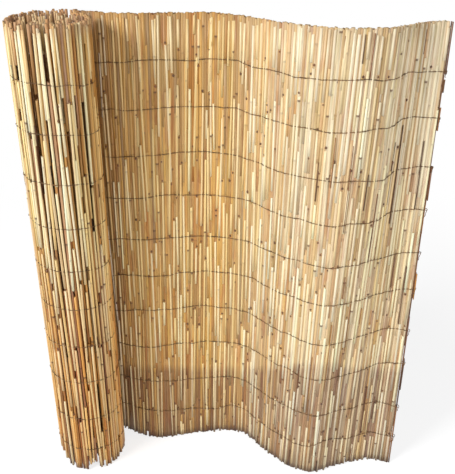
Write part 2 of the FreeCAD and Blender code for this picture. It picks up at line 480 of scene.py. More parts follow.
@dataclass
class ReedSheaf:
    """Collects many reeds into one mesh and carries each one's colour.

    A tube is the points of its rings, its colour, and the marks of each ring: how much painted shade of
    its hollow end it takes, how knotty it looks, and the shift of its pattern.
    """

    name: str
    plan: MatPlan
    seed: int
    cut: ReedCut
    worn: WornFoot = WornFoot()
    reeds: list[Reed] = field(default_factory=list)
    tubes: list[tuple[Array, Array, Array]] = field(default_factory=list)

    def __post_init__(self) -> None:
        """Starts the sheaf's own random numbers."""
        self.rng = np.random.default_rng(self.seed)

    def _rings(self, reed: Reed) -> tuple[Array, Array, Array]:
        """Heights at which a reed gets a ring of points: at even steps, but closer at its knots.

        Args:
            reed: The reed.

        Returns:
            The heights, and how far the reed swells and how dark it is at each.
        """
        apart, lip = 0.006, 0.002
        knots: dict[float, Span] = {}
        if self.cut.knots:
            knot = reed.foot + self.rng.uniform(0.02, 0.17)
            while knot < reed.head - apart:
                stain = self.rng.choice((0.06, 0.3, 0.9), p=(0.62, 0.24, 0.14))
                knots.update({knot + step: (swell, dark * stain) for step, swell, dark in KNOT})
                knot += self.rng.uniform(0.10, 0.21)
        near = np.array(sorted(knots) or [-9.0])
        steps = np.linspace(reed.foot, reed.head, max(int((reed.head - reed.foot) / self.cut.step) + 1, 3))
        even = [h for h in steps if np.min(np.abs(near - h)) > apart or h in (reed.foot, reed.head)]
        height = np.array(sorted(even + [h for h in knots if reed.foot + lip < h < reed.head - lip]))
        return height, *np.array([knots.get(h, (0.0, 0.0)) for h in height]).T

    def add(self, reed: Reed) -> None:
        """Adds a reed as a tube with knots along it and a hollow at each end.

        Args:
            reed: The reed.
        """
        rng, plan, cut = self.rng, self.plan, self.cut
        standing = plan.line(reed.place_at(np.zeros(1)), np.zeros(1))[0]
        reed.foot = max(reed.foot, self.worn.foot(standing, rng))
        length = reed.head - reed.foot
        if length < cut.shortest:
            return
        self.reeds.append(reed)
        height, swell, knotty = self._rings(reed)
        radius = reed.radius * (1.0 - cut.taper * (height - reed.foot) / MAT_HEIGHT) * (1.0 + swell)
        offset = reed.offset + reed.bow * np.sin(math.pi * ((height - reed.foot) / length))
        axis = plan.points(reed.place_at(height), height, offset, radius * cut.girth)

        # Two narrower rings at each end make the hollow: one at the rim and one deep inside.
        depth = (0, 0, min(cut.depth, length / 3.0))
        rings = np.vstack([axis[:1] + depth, axis[:1], axis, axis[-1:], axis[-1:] - depth])
        radii = np.pad(radius, 2, constant_values=(radius[0] * cut.hole, radius[-1] * cut.hole))
        hollow = np.zeros(len(rings))
        # Painted shade inside the hollow: full at the deep ring and 0.35 at the rim ring.
        hollow[[0, -1]], hollow[[1, -2]] = 1.0, 0.35

        turn = np.linspace(0.0, FULL_TURN, cut.sides, endpoint=False) + rng.uniform(0, 1)
        oval = 1.0 + cut.oval * np.cos(2 * (turn - rng.uniform(0, math.pi)))
        level = np.clip(rings[:, 2], 0.0, MAT_HEIGHT)
        along = plan.heading(np.clip(reed.place_at(level), plan.start, plan.end), level / MAT_HEIGHT)
        back = np.stack([-along[:, 1], along[:, 0]], 1) * reed.flat
        ring = along[:, None] * (np.cos(turn) * oval)[:, None] + back[:, None] * (np.sin(turn) * oval)[:, None]
        points = np.repeat(rings[:, None, :], cut.sides, 1)
        points[..., :2] += ring * radii[:, None, None]
        slant = reed.radius * rng.uniform(0.05, 0.5, 2)
        facing = rng.uniform(0, FULL_TURN, 2)
        points[:3, :, 2] += slant[0] * (1.0 + np.cos(turn - facing[0]))
        points[-3:, :, 2] -= slant[1] * (1.0 + np.cos(turn - facing[1]))
        shift = np.full(len(rings), rng.uniform())
        self.tubes.append((points, reed.tone, np.stack([hollow, np.pad(knotty, 2), shift], 1)))

    def add_bud(self, place: float, height: float, offset: float, size: float) -> None:
        """Adds the dark scar of a bud, a flat lump on a reed.

        Args:
            place: Place along the mat.
            height: Height above the floor.
            offset: Distance of its middle from the middle of the mat.
            size: Half its height.
        """
        sides, rows, wide, deep = 8, 5, 0.75, 0.5
        turn = np.linspace(0.0, FULL_TURN, sides, endpoint=False)
        rise = np.linspace(-0.94, 0.94, rows)
        width = np.sqrt(1.0 - rise**2)[:, None]
        along = (np.cos(turn) * width * size * wide).ravel()
        away = (np.sin(turn) * width * size * deep).ravel()
        points = self.plan.points(place + along, height + np.repeat(rise * size, sides), offset + away)
        tone = np.array(ReedTone.UMBER.value) * self.rng.uniform(1.0, 2.2)
        marks = np.tile([0.0, 0.0, self.rng.uniform()], (rows, 1))
        self.tubes.append((points.reshape(rows, sides, 3), tone, marks))

    def build(self) -> bpy.types.Object:
        """Makes the mesh of all the reeds.

        Returns:
            The new object, riding on the body in place of the mat's solid.
        """
        points, quads, caps, tones, marks = [], [], [], [], []
        for rings, tone, looks in self.tubes:
            rows, sides = rings.shape[:2]
            index, around = tube_faces(rows, sides, len(points))
            points += rings.reshape(-1, 3).tolist()
            quads += around.tolist()
            caps += [index[0][::-1].tolist(), index[-1].tolist()]
            tones.append(np.tile(tone, (rows * sides, 1)))
            marks.append(np.repeat(looks, sides, 0))
        piece = put_mesh(self.name, points, quads + caps)
        for name, values in (("reed_tone", tones), ("reed_marks", marks)):
            layer = piece.data.attributes.new(name, "FLOAT_COLOR", "POINT")
            full = np.column_stack([np.vstack(values), np.ones(len(points))]).astype(np.float32)
            layer.data.foreach_set("color", full.ravel())
        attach(piece, BODY)
        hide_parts(MAT_NODE)
        triangles = sum(len(face) - 2 for face in quads + caps)
        log.info("%s: %d reeds, %d triangles", self.name, len(self.reeds), triangles)
        return piece


class NodePen:
    """Short way to place and link shader nodes in one tree."""

    def __init__(self, tree: Tree) -> None:
        """Takes the tree to write in."""
        self.tree = tree

    def node(self, kind: str, links: dict | None = None, **settings: object) -> bpy.types.Node:
        """Places a node.

        Args:
            kind: Blender's name for the node type.
            links: Value or output socket for each input, by its name or number.
            settings: Properties of the node.

        Returns:
            The node.
        """
        made = self.tree.nodes.new(kind)
        for key, value in settings.items():
            setattr(made, key, value)
        for key, value in (links or {}).items():
            if isinstance(value, bpy.types.NodeSocket):
                self.tree.links.new(value, made.inputs[key])
            else:
                made.inputs[key].default_value = value
        return made

    def out(self, kind: str, links: dict | None = None, **settings: object) -> Socket:
        """Places a node and returns its first output."""
        return self.node(kind, links, **settings).outputs[0]

    def math(self, operation: str, first: object, second: object = 0.0, clamp: bool = False) -> Socket:
        """Places a Math node and returns its result."""
        return self.out("ShaderNodeMath", {0: first, 1: second}, operation=operation, use_clamp=clamp)

    def blend(self, share: object, first: object, second: object, kind: str = "MIX") -> Socket:
        """Places a Mix node for colours and returns its result."""
        made = self.node("ShaderNodeMix", {0: share, 6: first, 7: second}, data_type="RGBA", blend_type=kind)
        return made.outputs[2]

    def spread(self, value: object, low: float, high: float, to_low: float, to_high: float) -> Socket:
        """Places a clamped Map Range node and returns its result."""
        return self.out("ShaderNodeMapRange", {0: value, 1: low, 2: high, 3: to_low, 4: to_high})

    def group(self, tree: Tree, **values: object) -> Sockets:
        """Places a group with values or sockets for its inputs and returns its outputs."""
        return self.node("ShaderNodeGroup", values, node_tree=tree).outputs

    def noise(self, place: Socket, scale: float, detail: float) -> Socket:
        """Places a Noise node and returns its result."""
        return self.out("ShaderNodeTexNoise", {"Vector": place, "Scale": scale, "Detail": detail})

    def axes(self) -> tuple[Socket, Socket, Socket, Socket]:
        """Returns the place on the object, then its X, Y and Z."""
        place = self.node("ShaderNodeTexCoord").outputs["Object"]
        return place, *self.node("ShaderNodeSeparateXYZ", {0: place}).outputs

    def along_reeds(self, across: Socket, up: Socket, jump: Socket) -> Socket:
        """Place on the object, scaled by one number across the reeds and by another up them.

        Args:
            across: Scale of X and Y.
            up: Scale of Z.
            jump: What is then added to Z.

        Returns:
            The scaled place.
        """
        _, x, y, z = self.axes()
        scaled = [self.math("MULTIPLY", axis, across) for axis in (x, y)]
        raised = self.math("ADD", self.math("MULTIPLY", z, up), jump)
        return self.out("ShaderNodeCombineXYZ", {0: scaled[0], 1: scaled[1], 2: raised})

    def skin(self, bump: Span, height: Socket, inputs: dict[str, object]) -> None:
        """Ends a material with its shader.

        Args:
            bump: Strength and distance of the bumps.
            height: Height that they follow.
            inputs: The other inputs of the shader.
        """
        relief = self.out("ShaderNodeBump", {"Strength": bump[0], "Distance": bump[1], "Height": height})
        shader = self.out("ShaderNodeBsdfPrincipled", {**inputs, "Normal": relief})
        self.node("ShaderNodeOutputMaterial", {0: shader})


def blank(made: object) -> NodePen:
    """Empties a node tree.

    Args:
        made: A material or world.

    Returns:
        A pen for its tree.
    """
    made.use_nodes = True
    made.node_tree.nodes.clear()
    return NodePen(made.node_tree)


def new_group(name: str, inputs: dict[str, float], *outputs: str) -> tuple[NodePen, Sockets]:
    """Makes a shader node group whose sockets are all plain numbers.

    Args:
        name: Name of the group.
        inputs: Name and default value of each input.
        outputs: Name of each output.

    Returns:
        A pen for its tree, and the sockets that give its inputs.
    """
    tree = bpy.data.node_groups.new(name, "ShaderNodeTree")
    for label, value in inputs.items():
        tree.interface.new_socket(label, in_out="INPUT", socket_type="NodeSocketFloat").default_value = value
    for label in outputs:
        tree.interface.new_socket(label, in_out="OUTPUT", socket_type="NodeSocketFloat")
    pen = NodePen(tree)
    return pen, pen.node("NodeGroupInput").outputs


def grain_group() -> Tree:
    """Fine streaks that run up a reed.

    Returns:
        The group, with a 0 to 1 mask and a height.
    """
    inputs = {"Shift": 0.0, "Fineness": 900.0, "Length": 14.0}
    pen, given = new_group("reed_grain", inputs, "Streaks", "Height")
    place = pen.along_reeds(given["Fineness"], given["Length"], pen.math("MULTIPLY", given["Shift"], 40.0))
    mask = pen.spread(pen.noise(place, 0.55, 3.0), 0.32, 0.68, 0.0, 1.0)
    pen.node("NodeGroupOutput", {"Streaks": mask, "Height": pen.noise(place, 2.2, 2.0)})
    return pen.tree


def patch_group() -> Tree:
    """Soft upright patches, a few reeds wide and some centimetres high.

    Returns:
        The group, with a 0 to 1 mask.
    """
    inputs = {"Shift": 0.0, "Width": 70.0, "Rise": 13.0, "Cover": 0.5, "Scatter": 1.5}
    pen, given = new_group("reed_patches", inputs, "Mask")
    jump = pen.math("MULTIPLY", given["Shift"], given["Scatter"])
    noise = pen.noise(pen.along_reeds(given["Width"], given["Rise"], jump), 1.0, 2.0)
    edge = pen.math("SUBTRACT", 0.78, pen.math("MULTIPLY", given["Cover"], 0.5))
    mask = pen.math("MULTIPLY", pen.math("SUBTRACT", noise, edge), 7.0, clamp=True)
    pen.node("NodeGroupOutput", {"Mask": mask})
    return pen.tree


def height_group() -> Tree:
    """Part of the mat that lies below a border, which is uneven and may fall towards the back.

    Returns:
        The group, with a 0 to 1 mask.
    """
    pen, given = new_group("below_height", {"Border": 0.25, "Softness": 0.03, "Fall": 0.0}, "Mask")
    place, _, y, z = pen.axes()
    drift = pen.math("MULTIPLY", pen.math("SUBTRACT", pen.noise(place, 9.0, 2.0), 0.5), given["Softness"])
    level = pen.math("ADD", z, pen.math("ADD", drift, pen.math("MULTIPLY", y, given["Fall"])))
    ratio = pen.math("DIVIDE", pen.math("SUBTRACT", level, given["Border"]), given["Softness"])
    pen.node("NodeGroupOutput", {"Mask": pen.math("SUBTRACT", 0.5, ratio, clamp=True)})
    return pen.tree


@dataclass(frozen=True)
class ReedFinish:
    """Waxy skin of a peeled reed. A border is a height, its softness and its fall towards the back."""

    name: str
    roughness: float = 0.42
    dry_roughness: float = 0.16
    streaks: float = 0.22
    stain_share: float = 0.55
    green_share: float = 0.5
    cover: float = 0.5
    # A darker, mauve band low on the mat, below a border that falls towards the back.
    low_band_share: float = 0.8
    low_band_border: Triple = (0.238, 0.022, 1.0)
    # Darker grey-brown at the very foot of each reed.
    foot_tint_share: float = 0.85
    foot_tint_border: Triple = (0.014, 0.016, 0.0)
    tip_share: float = 0.1
    tip_border: Triple = (0.978, 0.02, 0.0)
    streak: Colour = (0.72, 0.60, 0.46)
    stain: Colour = linear(226, 184, 176)
    green: Colour = linear(238, 240, 198)
    # Tint of the low band, darker and mauve towards the bottom.
    ground: Colour = linear(171, 150, 156)
    # Tint at the very foot of each reed.
    foot_tint: Colour = linear(150, 130, 118)
    tip: Colour = linear(212, 170, 130)
    knot: Colour = linear(98, 62, 34)
    # Painted shade inside the hollow cut ends of the reeds.
    hollow: Colour = linear(86, 50, 34)

    def material(self, groups: dict[str, Tree]) -> bpy.types.Material:
        """Builds the material.

        Args:
            groups: Node groups of the streaks, the stains and the parts below a height.

        Returns:
            The material.
        """
        made = bpy.data.materials.new(self.name)
        pen = blank(made)
        tone = pen.node("ShaderNodeAttribute", attribute_name="reed_tone").outputs["Color"]
        marks = pen.node("ShaderNodeAttribute", attribute_name="reed_marks").outputs["Color"]
        hollow, knot, shift = pen.node("ShaderNodeSeparateColor", {0: marks}).outputs
        streaks, grain = pen.group(groups["grain"], Shift=shift)
        patch = {"tree": groups["patch"], "Shift": shift, "Cover": self.cover}
        stains, greens = pen.group(**patch)[0], pen.group(**patch, Width=83.0, Rise=8.0, Scatter=2.4)[0]
        low, foot, body = (
            pen.group(groups["height"], Border=border, Softness=softness, Fall=fall)[0]
            for border, softness, fall in (self.low_band_border, self.foot_tint_border, self.tip_border)
        )
        # The low band: darker towards the bottom, uneven from reed to reed.
        uneven = pen.math("MULTIPLY", low, pen.spread(shift, 0.0, 0.7, 0.3, 1.0))
        darker = pen.blend(1.0, tone, (*self.streak, 1.0), "MULTIPLY")
        colour = pen.blend(pen.math("MULTIPLY", streaks, self.streaks), tone, darker)
        # Stains and green patches, then the darker low band and the darker feet.
        for mask, share, tint in (
            (stains, self.stain_share, self.stain),
            (greens, self.green_share, self.green),
            (uneven, self.low_band_share, self.ground),
            (foot, self.foot_tint_share, self.foot_tint),
        ):
            tinted = pen.blend(1.0, colour, (*tint, 1.0), "MULTIPLY")
            colour = pen.blend(pen.math("MULTIPLY", mask, share), colour, tinted)
        tips = pen.math("MULTIPLY", pen.math("SUBTRACT", 1.0, body), self.tip_share)
        # Tips and knots in their own colours, then painted shade in the hollow ends.
        for mask, paint in ((tips, self.tip), (knot, self.knot), (hollow, self.hollow)):
            colour = pen.blend(mask, colour, (*paint, 1.0))
        shine = pen.spread(streaks, 0.0, 1.0, self.roughness, self.roughness + self.dry_roughness)
        pen.skin((0.25, 0.0003), grain, {"Base Color": colour, "Roughness": shine, "Specular IOR Level": 0.5})
        return made


@dataclass(frozen=True)
class WireFinish:
    """Thin binding wire gone brown with rust."""

    name: str = "rusty_wire"
    dark: Colour = linear(98, 78, 54)
    rust: Colour = linear(138, 102, 66)

    def material(self) -> bpy.types.Material:
        """Builds the material, dark metal under patches of rust.

        Returns:
            The material.
        """
        made = bpy.data.materials.new(self.name)
        pen = blank(made)
        patches = pen.noise(pen.node("ShaderNodeTexCoord").outputs["Object"], 70.0, 4.0)
        mask = pen.spread(patches, 0.4, 0.62, 0.0, 1.0)
        colour = pen.blend(mask, (*self.dark, 1.0), (*self.rust, 1.0))
        dull, metal = pen.spread(mask, 0.0, 1.0, 0.45, 0.85), pen.spread(mask, 0.0, 1.0, 0.6, 0.0)
        pen.skin((0.4, 0.0002), patches, {"Base Color": colour, "Roughness": dull, "Metallic": metal})
        return made


@dataclass(frozen=True)
class Column:
    """Rules by which broken lengths of reed lie one above another at each place.

    Pairs are the least and the most of a random size. Free is the gap above each length, uneven how
    far the feet and heads draw back, and edge how far the faces of the mat are from its middle.
    """

    layer: Layer
    gap: Span
    length: Span
    free: Span
    radius: Span
    tones: ToneMix
    lean: float = 0.004
    jitter: float = 0.0003
    top: float = 0.992
    uneven: Span = (0.006, 0.012)
    missing: float = 0.0
    buds: float = 0.0
    zigzag: float = 0.0
    sway: float = 0.0005
    bow: float = 0.0002
    flat: float = 1.0
    inset: float = 0.0
    edge: float = 0.0041
    stub: float = 0.02
    shortest: float = 0.03
    reach_top: float = 0.05

    def fill(self, sheaf: ReedSheaf, start: float, end: float) -> None:
        """Lays reeds over a stretch of the mat.

        Args:
            sheaf: Sheaf that takes the reeds.
            start: First place.
            end: Last place.
        """
        rng = sheaf.rng
        place = start + rng.uniform(0.0, self.gap[0]) * 0.5
        aside = self.zigzag
        while place < end:
            aside = -aside
            foot = -rng.uniform(0.0, self.length[1])
            while foot < self.top - self.stub:
                head = foot + rng.uniform(*self.length)
                if head > self.top - self.reach_top:
                    head = self.top
                low = max(foot, rng.uniform(0.0, self.uneven[0]))
                high = min(head, self.top - rng.uniform(0.0, self.uneven[1]))
                if high - low > self.shortest and rng.random() >= self.missing:
                    self.lay(sheaf, place, low, high, aside)
                foot = head + rng.uniform(*self.free)
            place += rng.uniform(*self.gap)

    def lay(self, sheaf: ReedSheaf, place: float, low: float, high: float, aside: float = 0.0) -> None:
        """Lays one length of reed.

        Args:
            sheaf: Sheaf that takes it.
            place: Place along the mat.
            low: Height of its foot.
            high: Height of its head.
            aside: How far this column lies behind its neighbours.
        """
        rng = sheaf.rng
        side = self.layer.value
        radius = rng.uniform(*self.radius)
        raised = side * (self.edge - radius) if side else aside - self.inset
        reed = Reed(
            place=place + rng.normal(0.0, self.sway),
            foot=low,
            head=high,
            offset=raised + rng.normal(0.0, self.jitter),
            radius=radius,
            tone=self.tones.pick(rng, place, (low + high) / 2.0),
            lean=rng.normal(0.0, self.lean),
            bow=rng.normal(0.0, self.bow),
            flat=self.flat,
        )
        sheaf.add(reed)
        past_end, sunk, lowest, highest = 0.004, 0.0014, 0.02, 0.97
        for height in (low - past_end, high + past_end):
            if lowest < height < highest and rng.random() < self.buds:
                there = reed.place_at(height) + rng.normal(0.0, 0.0012)
                sheaf.add_bud(there, height, side * (self.edge - sunk), rng.uniform(0.0018, 0.0028))


@dataclass
class OpenStretch:
    """The unrolled part: a closed layer of dull reeds with bright lengths on both faces."""

    plan: MatPlan

    def core(self) -> ReedSheaf:
        """Builds the closed layer, of lengths that pass one another a little, with a dark free edge of thin
        reeds, painted shade of the edge's shadowed side.

        Returns:
            Its sheaf.
        """
        sheaf = ReedSheaf("reeds_open_core", self.plan, 11, ReedCut(step=0.06))
        end = self.plan.end
        closed = {"jitter": 0.0001, "top": MAT_HEIGHT, "uneven": (0.005, 0.002), "zigzag": 0.0002, "sway": 0.0001}
        gap, length, free, radius = (0.0044, 0.0050), (0.16, 0.62), (-0.024, -0.008), (0.0029, 0.0033)
        column = Column(Layer.CORE, gap, length, free, radius, DULL, lean=0.0004, flat=0.76, **closed)
        column.fill(sheaf, 0.0, end - 0.0046)
        # Thin dark reeds behind the last pale ones: painted shade of the free edge's shadowed side.
        edge = Column(Layer.CORE, (0.0022, 0.0024), (0.05, 0.24), (-0.01, 0.0), (0.0013, 0.0015), SHADE_MIX, lean=0.0001)
        edge.fill(sheaf, end - 0.0064, end - 0.0014)
        return sheaf

    def face(self, layer: Layer, seed: int) -> ReedSheaf:
        """Builds the bright lengths on one face, sparse by the roll and closer towards the free end.

        Thin dark lengths stand among those near the free end and along its rim, painted shade of the slits
        between reeds and of the rim's shadowed side.

        Args:
            layer: The face.
            seed: Seed of its random numbers.

        Returns:
            Its sheaf.
        """
        sheaf = ReedSheaf(f"reeds_open_{layer.name.lower()}", self.plan, seed, ReedCut(step=0.05))
        end, length, free = self.plan.end, (0.05, 0.31), (0.010, 0.10)
        for first, last, gap, radius, tones, lean in (
            (0.014, 0.17, (0.0072, 0.0126), (0.0018, 0.0024), BRIGHT, 0.014),
            (0.17, 0.33, (0.0062, 0.0106), (0.0019, 0.0025), BRIGHT, 0.012),
            (0.33, end - 0.0052, (0.0062, 0.0104), (0.0021, 0.0029), PALE, 0.007),
        ):
            Column(layer, gap, length, free, radius, tones, lean, top=0.997, buds=0.32).fill(sheaf, first, last)
        # Thin dark reeds as painted shade: slits between reeds towards the free end, and along the rim.
        shade_slits = Column(layer, (0.010, 0.034), (0.04, 0.20), (0.05, 0.4), (0.0008, 0.0010), SHADE_MIX, 0.003, top=0.998)
        shade_slits.fill(sheaf, 0.47, end - 0.008)
        rim = replace(shade_slits, radius=(0.0011, 0.0013), lean=0.0001, sway=0.0001, edge=0.0035)
        for low, high in ((0.905, 0.997), (0.872, 0.896), (0.80, 0.845), (0.66, 0.73), (0.44, 0.50), (0.21, 0.29)):
            rim.lay(sheaf, end - 0.0012, low, high)
        return sheaf


@dataclass
class Roll:
    """The wound part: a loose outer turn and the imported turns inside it."""

    plan: MatPlan

    def outer_core(self) -> ReedSheaf:
        """Builds the outer turn's darker reeds, with gaps between some of them; their darkness is partly their
        own tone and partly painted shade of the recess between the outer reeds.

        Returns:
            Their sheaf.
        """
        sheaf = ReedSheaf("reeds_roll_core", self.plan, 31, ReedCut(step=0.06))
        length, free, radius = (0.12, 0.6), (-0.02, 0.01), (0.0024, 0.0029)
        loose = {"lean": 0.003, "jitter": 0.0006, "top": MAT_HEIGHT, "uneven": (0.006, 0.004), "inset": 0.0020}
        for first, last, gap, tones, missing in (
            (self.plan.outer_start, -0.356, (0.0056, 0.0070), WARM, 0.04),
            (-0.356, -0.140, (0.0062, 0.0086), MIXED, 0.14),
            (-0.140, -0.002, (0.0050, 0.0058), MIXED, 0.0),
        ):
            column = Column(Layer.CORE, gap, length, free, radius, tones, missing=missing, **loose)
            column.fill(sheaf, first, last)
        return sheaf

    def outer_face(self) -> ReedSheaf:
        """Builds the bright reeds on the outside of the roll: golden and close on the left, nearly
        white and apart in front, and golden again on the right. The nearly white front is partly the reeds'
        own tone and partly a painted highlight where the light falls most.

        Returns:
            Their sheaf.
        """
        sheaf = ReedSheaf("reeds_roll_back", self.plan, 37, ReedCut(step=0.05))
        length, free = (0.08, 0.45), (0.004, 0.034)
        loose = {"jitter": 0.0001, "top": 0.998, "uneven": (0.006, 0.014), "buds": 0.2, "edge": 0.0036}
        # The nearly white front is partly a painted highlight.
        for first, last, gap, radius, tones, lean in (
            (self.plan.outer_start, -0.352, (0.0056, 0.0070), (0.0025, 0.0029), WARM, 0.003),
            (-0.352, -0.304, (0.0058, 0.0092), (0.0021, 0.0026), SUNNY, 0.008),
            (-0.304, -0.212, (0.0062, 0.0100), (0.0020, 0.0026), VIVID, 0.013),
            (-0.212, -0.150, (0.0064, 0.0100), (0.0022, 0.0027), GOLDEN, 0.009),
            (-0.150, -0.001, (0.0066, 0.0110), (0.0024, 0.0030), GOLDEN, 0.008),
        ):
            column = Column(Layer.BACK, gap, length, free, radius, tones, lean, **loose)
            column.fill(sheaf, first, last)
        return sheaf

    def inner(self) -> ReedSheaf:
        """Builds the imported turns, of which the ends show.

        Returns:
            Their sheaf.
        """
        sheaf = ReedSheaf("reeds_roll_inner", self.plan, 41, ReedCut(sides=8, step=0.25, knots=False))
        start, end = self.plan.start + 0.002, self.plan.outer_start
        last = end - 0.42
        whole, apart, gap, radius = (1.2, 1.4), (1.0, 1.1), (0.0053, 0.0062), (0.0023, 0.0030)
        packed = {"lean": 0.0, "top": MAT_HEIGHT, "uneven": (0.008, 0.006)}
        Column(Layer.CORE, gap, whole, apart, radius, MIXED, **packed).fill(sheaf, start, last)
        # The outermost inner turn takes the darker tones, as painted shade behind the outer turn.
        Column(Layer.CORE, gap, whole, apart, radius, DEEP_SHADE, **packed).fill(sheaf, last, end)
        gap, radius = (0.009, 0.017), (0.0017, 0.0022)
        for layer in (Layer.FRONT, Layer.BACK):
            column = Column(layer, gap, whole, apart, radius, BRIGHT, jitter=0.0004, **packed)
            column.fill(sheaf, start, last)
        return sheaf


@dataclass
class WireRow:
    """One row of binding wire: along the front, round the free end and along the back round the roll.

    Depth is how far from the middle of the mat it lies between reeds, and under the share of bright
    reeds that it passes beneath: first on the open stretch, then round the roll. It stops short of the
    free end and turns round it in a bend: how far before the end, how far along and how deep.
    """

    number: int
    height: float
    plan: MatPlan
    strand: float = 0.00065
    step: float = 0.004
    depth: Span = (0.0026, 0.0020)
    under: Span = (0.62, 0.72)
    kink_step: float = 0.019
    winding_pitch: float = 0.0019
    winding_reach: float = 1.2
    winding_thin: float = 0.8
    stop: float = 0.002
    bend: Triple = (0.0012, 0.0030, 0.0037)
    bend_points: int = 7
    seed: int = 500

    def __post_init__(self) -> None:
        """Starts the row's own random numbers."""
        self.rng = np.random.default_rng(self.seed + self.number)

    @property
    def node(self) -> str:
        """Name of the solid that this row stands for."""
        return f"wire_row_{self.number:02d}"

    def reach(self, place: Array, reeds: Sequence[Reed]) -> Array:
        """How far from the middle of the mat the wire lies: over some bright reeds and under others.

        It lies deeper and under more of them round the roll, where the places are below zero.

        Args:
            place: Places along the mat.
            reeds: Bright reeds on that face.

        Returns:
            Distances, always positive.
        """
        away = np.where(place < 0.0, self.depth[1], self.depth[0])
        for reed in reeds:
            under = self.under[0] if reed.place > 0.0 else self.under[1]
            if not reed.foot < self.height < reed.head or self.rng.random() < under:
                continue
            apart = np.abs(place - reed.place_at(self.height))
            near = apart < reed.radius * 1.5
            over = np.sqrt(np.clip(1.0 - (apart[near] / (reed.radius * 1.6)) ** 2, 0.0, 1.0))
            away[near] = np.maximum(away[near], abs(reed.offset) + reed.radius * over)
        return away + self.strand

    def waver(self, place: Array) -> Array:
        """Heights of the wire, which wanders and is a little kinked.

        Args:
            place: Places along the mat.

        Returns:
            Heights above the floor.
        """
        strays = WANDER[self.number - 1]
        traced = np.interp(place, WANDER_PLACES, strays)
        rolled = np.interp(place, *ROLL_DROP) + strays[0] * np.clip(1.0 + place / 0.08, 0.0, 1.0)
        kinks = np.arange(place[0] - 0.03, place[-1] + 0.05, self.kink_step)
        moved = kinks + self.rng.uniform(-0.006, 0.006, len(kinks))
        bent = np.interp(place, moved, self.rng.normal(0.0, 0.6, len(kinks)))
        return self.height + (np.where(place < 0.0, rolled, traced) + bent) / 1000.0

    def twists(self, path: Array) -> list[Array]:
        """Short windings where the two wires of the row are twisted together between reeds.

        Args:
            path: Points of the wire.

        Returns:
            Points of each winding.
        """
        windings = []
        index = int(self.rng.integers(2, 9))
        while index < len(path) - 2:
            turns = self.rng.choice((1.0, 1.5, 2.5), p=(0.4, 0.45, 0.15))
            share = np.linspace(-0.5, 0.5, int(turns * 7) + 1)[:, None]
            along = path[index + 1] - path[index - 1]
            along /= np.linalg.norm(along)
            angle = FULL_TURN * turns * share + self.rng.uniform(0.0, 6.0)
            around = np.cross(along, UP) * np.cos(angle) + UP * np.sin(angle)
            middle = path[index] + along * share * turns * self.winding_pitch
            windings.append(self.plan.inside(middle + around * self.strand * self.winding_reach, self.strand))
            index += int(self.rng.integers(1, 5))
        return windings

    def tail(self, start: Array) -> Array:
        """Loose end of the wire that hangs at the free edge, curled back.

        Args:
            start: Where it leaves the row.

        Returns:
            Its points.
        """
        share = np.linspace(0.0, 1.0, 15)
        length = self.rng.uniform(0.009, 0.017)
        curl = self.rng.uniform(2.0, 4.5)
        across = 0.0016 * np.sin(curl * share * math.pi) * share
        return start + np.stack([-0.25 * length * share + across, -0.002 * share + across, -length * share], 1)

    def build(self, front: Sequence[Reed], back: Sequence[Reed], finish: bpy.types.Material) -> bpy.types.Object:
        """Builds the row.

        Args:
            front: Bright reeds on the front.
            back: Bright reeds on the back and round the roll.
            finish: Material of the wire.

        Returns:
            The new object in place of the row's solid.
        """
        plan, end = self.plan, self.plan.end
        near = np.arange(0.0, end - self.stop, self.step)
        fore = plan.points(near, self.waver(near), -self.reach(near, front), self.strand)
        far = np.arange(plan.outer_start, end - self.stop, self.step)
        aft = plan.points(far, self.waver(far), self.reach(far, back), self.strand)
        around = np.linspace(-math.pi / 2, math.pi / 2, self.bend_points)
        level = np.linspace(fore[-1][2], aft[-1][2], self.bend_points)
        before, reach, depth = self.bend
        bend = plan.points(end - before + reach * np.cos(around), level, depth * np.sin(around), self.strand)
        runs = [(np.vstack([fore, bend, aft[::-1]]), self.strand, 6)]
        for path in (fore, aft):
            runs += [(winding, self.strand * self.winding_thin, 4) for winding in self.twists(path)]
        runs.append((self.tail(bend[1]), self.strand, 5))
        points, faces = [], []
        for path, radius, sides in runs:
            tube, skin = sweep(path, radius, sides, len(points))
            points += tube
            faces += skin
        piece = put_mesh(f"binding_wire_{self.number:02d}", points, faces)
        piece.data.materials.append(finish)
        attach(piece, BODY)
        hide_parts(self.node)
        log.info("%s: %d faces", piece.name, len(faces))
        return piece


def sweep(path: Array, radius: float, sides: int, first: int) -> tuple[list, list]:
    """Runs a round section along a path.

    Args:
        path: Points of the path.
        radius: Radius of the section.
        sides: Sides of the section.
        first: Number of the first point.

    Returns:
        Points and faces of the tube, closed at both ends.
    """
    along = np.gradient(path, axis=0)
    along /= np.linalg.norm(along, axis=1)[:, None]
    aside = np.cross(along, UP)
    aside /= np.maximum(np.linalg.norm(aside, axis=1), 1e-9)[:, None]
    over = np.cross(aside, along)
    turn = np.linspace(0.0, FULL_TURN, sides, endpoint=False)[:, None]
    points = path[:, None] + (aside[:, None] * np.cos(turn) + over[:, None] * np.sin(turn)) * radius
    index, quads = tube_faces(len(path), sides, first)
    outward = np.roll(quads[:, ::-1], 1, axis=1)
    return points.reshape(-1, 3).tolist(), [*outward.tolist(), index[0].tolist(), index[-1][::-1].tolist()]


